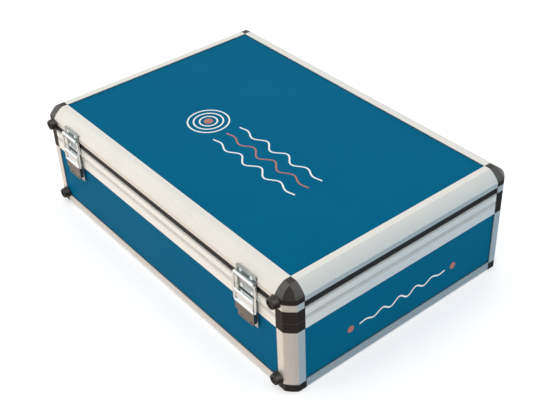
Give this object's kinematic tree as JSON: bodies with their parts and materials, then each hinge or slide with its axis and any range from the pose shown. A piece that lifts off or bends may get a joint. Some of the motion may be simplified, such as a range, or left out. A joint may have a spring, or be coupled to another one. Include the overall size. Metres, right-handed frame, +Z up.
{
  "type": "aluminium-framed teaching kit case",
  "caption": "Flat aluminium-framed carrying case for a classroom kit: teal boards, black corner caps, hinged lid, wire draw latches, folding handle and a foam insert with pockets.",
  "frame": {"origin": "centre of the case's footprint, on the plane of its bottom corner caps", "axes": "+X along the case's length, to the right as seen from the latches; -Y towards the latches; +Z up through the closed lid"},
  "size_m": [0.46, 0.3314, 0.1337],
  "materials": {
    "aluminium_profile": "satin anodised extrusion",
    "teal_board": "smooth laminate on board",
    "black_board": "smooth black laminate",
    "black_plastic": "moulded, slightly glossy",
    "nickel_steel": "bright nickel plate",
    "lever_steel": "nickel plate, satin",
    "handle_steel": "satin nickel plate",
    "grip_plastic": "moulded, fine grain",
    "foam": "open-cell foam"
  },
  "bodies": {
    "base": {"base_board_back": "teal_board", "base_board_front": "teal_board", "base_board_left": "teal_board", "base_board_right": "teal_board", "base_bottom_board": "teal_board", "base_bottom_caps": "black_plastic", "base_bottom_rail_back": "aluminium_profile", "base_bottom_rail_front": "aluminium_profile", "base_bottom_rail_left": "aluminium_profile", "base_bottom_rail_right": "aluminium_profile", "base_bumper_screws": "nickel_steel", "base_bumpers": "black_plastic", "base_post_back_left": "aluminium_profile", "base_post_back_right": "aluminium_profile", "base_post_front_left": "aluminium_profile", "base_post_front_right": "aluminium_profile", "base_rim_back": "aluminium_profile", "base_rim_connectors": "black_plastic", "base_rim_front": "aluminium_profile", "base_rim_left": "aluminium_profile", "base_rim_right": "aluminium_profile", "base_rivets": "nickel_steel", "foam_base_pad": "foam", "foam_pocket_layer": "foam", "handle_brackets": "nickel_steel", "handle_pins": "nickel_steel", "hinge_base_leaves": "nickel_steel", "hinge_pins": "nickel_steel", "latch_lever_pins": "nickel_steel", "latch_plate_left": "nickel_steel", "latch_plate_right": "nickel_steel"},
    "lid": {"foam_lid_pad": "foam", "hinge_lid_leaves": "nickel_steel", "latch_keeper_left": "nickel_steel", "latch_keeper_right": "nickel_steel", "lid_bumper_screws": "nickel_steel", "lid_bumpers": "black_plastic", "lid_cap_back_left": "black_plastic", "lid_cap_back_right": "black_plastic", "lid_cap_front_left": "black_plastic", "lid_cap_front_right": "black_plastic", "lid_rail_back": "aluminium_profile", "lid_rail_front": "aluminium_profile", "lid_rail_left": "aluminium_profile", "lid_rail_right": "aluminium_profile", "lid_rim_back": "aluminium_profile", "lid_rim_connectors": "black_plastic", "lid_rim_front": "aluminium_profile", "lid_rim_left": "aluminium_profile", "lid_rim_right": "aluminium_profile", "lid_rivets": "nickel_steel", "lid_short_posts": "aluminium_profile", "lid_side_strips": "black_board", "lid_top_board": "teal_board"},
    "lever_left": {"latch_lever_left": "lever_steel"},
    "lever_right": {"latch_lever_right": "lever_steel"},
    "link_left": {"latch_link_left": "nickel_steel"},
    "link_right": {"latch_link_right": "nickel_steel"},
    "handle": {"handle_bow": "handle_steel", "handle_grip": "grip_plastic"}
  },
  "joints": [
    {"name": "lid_hinge", "type": "hinge", "parent": "base", "child": "lid", "pos_m": [0, 0.1594, 0.09235], "axis": [-1, 0, 0], "range_deg": [0, 100]},
    {"name": "lever_left_pivot", "type": "hinge", "parent": "base", "child": "lever_left", "pos_m": [-0.1673, -0.1606, 0.0948], "axis": [-1, 0, 0], "range_deg": [0, 140]},
    {"name": "link_left_pivot", "type": "hinge", "parent": "lever_left", "child": "link_left", "pos_m": [-0.1673, -0.1606, 0.0819], "axis": [-1, 0, 0], "range_deg": [-140, 0]},
    {"name": "lever_right_pivot", "type": "hinge", "parent": "base", "child": "lever_right", "pos_m": [0.1673, -0.1606, 0.0948], "axis": [-1, 0, 0], "range_deg": [0, 140]},
    {"name": "link_right_pivot", "type": "hinge", "parent": "lever_right", "child": "link_right", "pos_m": [0.1673, -0.1606, 0.0819], "axis": [-1, 0, 0], "range_deg": [-140, 0]},
    {"name": "handle_pivot", "type": "hinge", "parent": "base", "child": "handle", "pos_m": [0, 0.1622, 0.064], "axis": [1, 0, 0], "range_deg": [0, 95]}
  ],
  "couplings": [
    {"joint": "link_left_pivot", "follows": "lever_left_pivot", "ratio": -1},
    {"joint": "link_right_pivot", "follows": "lever_right_pivot", "ratio": -1}
  ]
}
